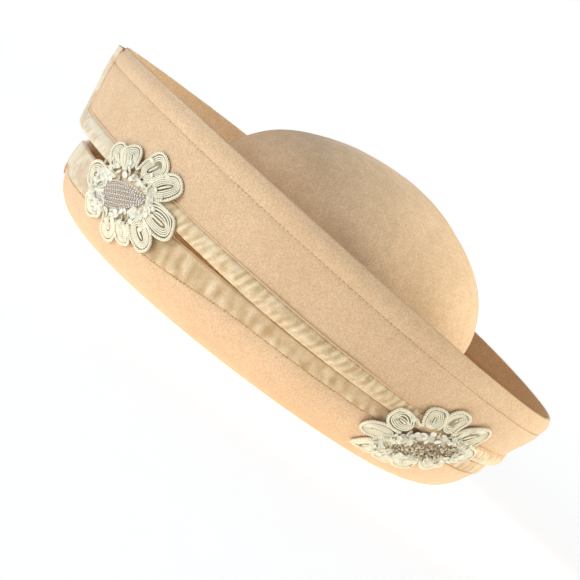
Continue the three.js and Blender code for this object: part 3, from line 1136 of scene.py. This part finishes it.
def studio_floor():
    """A round white floor that bends up into a wall. Towards the hat's back and up it glows less."""
    spokes, flat_rings, bend_rings, wall_rings = 96, 12, 12, 4
    flat, bend = 2.4, 1.6
    bm = bmesh.new()

    def place(i, j):
        turn = 2 * math.pi * i / spokes
        if j <= flat_rings:
            radius, height = flat * j / flat_rings, 0
        else:
            past = j - flat_rings
            arc = math.pi / 2 * min(past, bend_rings) / bend_rings
            radius = flat + bend * math.sin(arc)
            height = bend * (1 - math.cos(arc)) + max(past - bend_rings, 0) * 0.4
        return Vector((radius * math.cos(turn), radius * math.sin(turn), height))

    laid_grid(bm, spokes, flat_rings + bend_rings + wall_rings, place)
    bmesh.ops.remove_doubles(bm, verts=bm.verts, dist=0.0005)
    bmesh.ops.recalc_face_normals(bm, faces=bm.faces)
    floor = smooth_mesh("studio_floor", bm)
    material, nodes, inputs = surface("studio_white", 0.9)
    inputs["Base Color"].default_value = (0.88, 0.88, 0.88, 1)
    inputs["Emission Strength"].default_value = 0.69
    spot = nodes.object_place()
    fades = []
    ways = (((0.5, 0.87, 0), 0.65, 2.1, 0.12), ((0, 0, 1), 0.6, 1.4, 0.1))
    for direction, start, end, least in ways:
        along = nodes.add("ShaderNodeVectorMath", operation="DOT_PRODUCT")
        nodes.link(spot, along.inputs[0])
        along.inputs[1].default_value = direction
        fade = nodes.add("ShaderNodeMapRange")
        for key, value in (("From Min", start), ("From Max", end), ("To Min", 1), ("To Max", least)):
            fade.inputs[key].default_value = value
        nodes.link(along.outputs["Value"], fade.inputs["Value"])
        fades.append(fade.outputs["Result"])
    nodes.link(nodes.mix(1.0, fades[0], fades[1], "MULTIPLY"), inputs["Emission Color"])
    paint(floor, material)


def studio():
    studio_floor()
    world = bpy.data.worlds.new("studio_world")
    bpy.context.scene.world = world
    world.use_nodes = True
    world.node_tree.nodes["Background"].inputs["Color"].default_value = (1, 1, 1, 1)
    world.node_tree.nodes["Background"].inputs["Strength"].default_value = 0.14
    light("key", "AREA", (1.3, -1.7, 0.22), 16, shape="DISK", size=1.0, color=(0.88, 1.02, 1.2))
    light(
        "crown_light", "SPOT", (-0.2, 1.6, 0.85), 340, (0, 0.07, 0.115), shadow_soft_size=0.15,
        spot_size=math.radians(7.8), spot_blend=0.8, color=(1.0, 0.98, 0.9),
    )
    light(
        "dome_light", "SPOT", (0.9, 1.4, 1.2), 82, (0.02, 0.06, 0.13), shadow_soft_size=0.15,
        spot_size=math.radians(5.5), spot_blend=0.8, color=(1.0, 0.96, 0.88),
    )
    bpy.context.scene.view_settings.view_transform = "Standard"


# The hat


def seam_line(strip, share, off):
    """A line along a strip, as (point, normal), at a share of the way from its edge to its seam."""
    spots = (strip.surface(k, share) for k in range(len(strip.stations)))
    return [(point + normal * off, normal) for point, normal in spots]


def rim_topstitching():
    """The stitches of the folded hem, in the groove that they pull."""
    spots = []
    count = 900
    from_slash = 18
    for k in range(count + 1):
        side = 1 if k <= count / 2 else -1
        share = 2 * k / count if side > 0 else 2 * (1 - k / count)
        reach = lerp(from_slash, HALF_WAY, share)
        angle = side * angle_from(row_at(CUFF, STITCH_LINE), reach)
        normal = face_frame(CUFF, STITCH_LINE, angle)[0]
        point = stand(CUFF, STITCH_LINE, angle, -0.42)
        spots.append((point + normal * wander(point, 55, 1.1), normal))
    return stitches("rim_topstitching", spaced(spots, 3.1), 2.3, 0.7, 0.08)


def upper_seam_lip(strip):
    """The felt that the seam pushes up above the upper velvet."""
    bm = bmesh.new()
    sweep_tube(bm, spaced(seam_line(strip, 1.05, 0.35), 1.5), 0.75, 8, False)
    return finished("upper_seam_lip", bm)


def upper_strip():
    def widen(share):
        return 0.3 * smooth(0, 0.4, share)

    return Strip(CUFF, CUFF_SLASH, 0, 1.3, 5.96, widen)


def lower_strip():
    """This one is widest beside the front motif and narrow along the side."""

    def widen(share):
        wide = 0.4 * smooth(0, 0.08, share) - 0.68 * smooth(0.22, 0.45, share)
        return wide + 0.28 * smooth(0.7, 0.85, share)

    return Strip(LOWER_PANEL, LOWER_SLASH, LIP, LIP - 1, 6.1, widen)


def upper_wall(t):
    return HEM_THICKNESS if t >= HEM_LINE - 0.05 else FELT


def lower_wall(t):
    return FELT


def felt_and_velvet(nap):
    brim_felt = felt_material("peach_felt", nap, (0.83, 0.585, 0.36), (0.76, 0.52, 0.305), 16)
    dome_felt = felt_material("crown_felt", nap, (0.85, 0.61, 0.38), (0.73, 0.51, 0.305), 22)
    puffed = velvet_material("cream_velvet", nap, (0.97, 0.79, 0.52), (0.8, 0.61, 0.36))
    # The lower velvet is a darker, tanner copy of the upper velvet: painted shade, for the shade it
    # lies in under the upper band as it curves in.
    flat = velvet_material("shaded_tan_velvet", nap, (0.84, 0.66, 0.42), (0.69, 0.5, 0.28))
    tan = cord_material("tan_thread", (0.66, 0.44, 0.24), (0.52, 0.32, 0.16), 0.6)
    golden = cord_material("golden_thread", (0.72, 0.5, 0.24), (0.48, 0.31, 0.13), 0.55)
    cream = cord_material("cream_thread", (0.9, 0.76, 0.5), (0.8, 0.62, 0.36), 0.5)

    paint(crown_felt(), dome_felt)
    panel = felt_panel(
        "lower_brim_felt", "brim_lower_panel", LOWER_PANEL, LOWER_SLASH, lower_profile(), 300
    )
    paint(panel, brim_felt)
    cuff = felt_panel("cuff_felt", "brim_cuff", CUFF, CUFF_SLASH, cuff_profile(), 400)
    paint(cuff, brim_felt)

    upper, lower = upper_strip(), lower_strip()
    binding = velvet_binding(
        "upper_binding_velvet", "upper_binding", upper, upper_wall, UPPER_GATHERS
    )
    paint(binding, puffed)
    binding = velvet_binding(
        "lower_binding_velvet", "lower_binding", lower, lower_wall, LOWER_GATHERS
    )
    paint(binding, flat)

    paint(rim_topstitching(), tan)
    line = spaced(seam_line(upper, 0.9, 1.75), 2.9)
    paint(stitches("upper_seam_stitches", line, 1.7, 0.65, 0.2), cream)
    line = spaced(seam_line(lower, 1.0, 0.75), 2.7)
    paint(stitches("lower_seam_stitches", line, 2.7, 1.2, 0.5), golden)
    paint(upper_seam_lip(upper), brim_felt)


def motifs():
    ivory = cord_material("ivory_cord", (0.98, 0.92, 0.7), (0.62, 0.49, 0.28), 0.45, True)
    pearl = sequin_material()
    silver = bead_material("silver_beads", (0.97, 0.94, 0.86), (0.68, 0.6, 0.53))
    bronze = bead_material("gold_grey_beads", (0.85, 0.76, 0.55), (0.36, 0.27, 0.15))
    net = net_material()
    for place in MOTIFS:
        for hand in ("left", "right"):
            motif = Motif(place, hand)
            paint(motif_cords(motif), ivory)
            paint(motif_net(motif), net)
            paint(motif_sequins(motif), pearl)
            paint(motif_beads(motif), silver if place == "front" else bronze)


camera()
studio()
felt_and_velvet(nap_group())
motifs()
